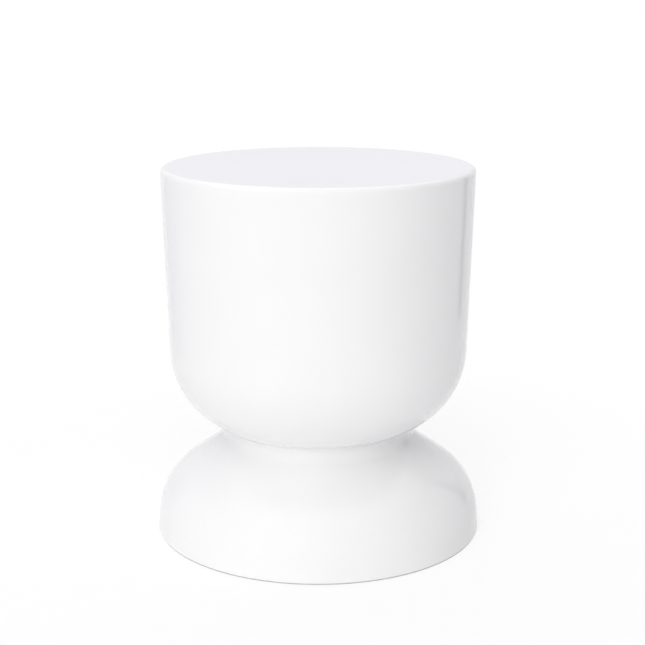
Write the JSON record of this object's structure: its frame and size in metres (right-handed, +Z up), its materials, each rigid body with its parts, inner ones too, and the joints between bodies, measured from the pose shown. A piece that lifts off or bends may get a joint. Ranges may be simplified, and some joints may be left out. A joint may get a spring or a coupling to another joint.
{
  "type": "stool table",
  "caption": "Round gloss white sheet-steel stool table: a flat-topped drum with a bowl-shaped underside, bolted at a narrow neck to a flared, domed base that is open below.",
  "frame": {"origin": "middle of the base on the floor plane, under the foot strip", "axes": "+Z up along the axis that the drum and base are turned about, +X along the main brace, -Y towards the viewer of the picture"},
  "size_m": [0.4009, 0.401, 0.45],
  "materials": {
    "coat": "gloss",
    "primer": "matte",
    "zinc": "satin",
    "seal": "matte",
    "foot": "matte"
  },
  "bodies": {
    "root": {"top_plate": "coat", "top_brace_main": "primer", "top_brace_left": "primer", "top_brace_right": "primer", "upper_band": "primer", "drum_wall": "coat", "lower_band": "primer", "drum_bowl": "coat", "mount_ring": "primer", "weld_nuts": "zinc", "neck_gasket": "seal", "base_dome": "coat", "clamp_ring": "zinc", "flat_washers": "zinc", "spring_washers": "zinc", "clamp_bolts": "zinc", "foot_ring": "foot"}
  },
  "joints": []
}
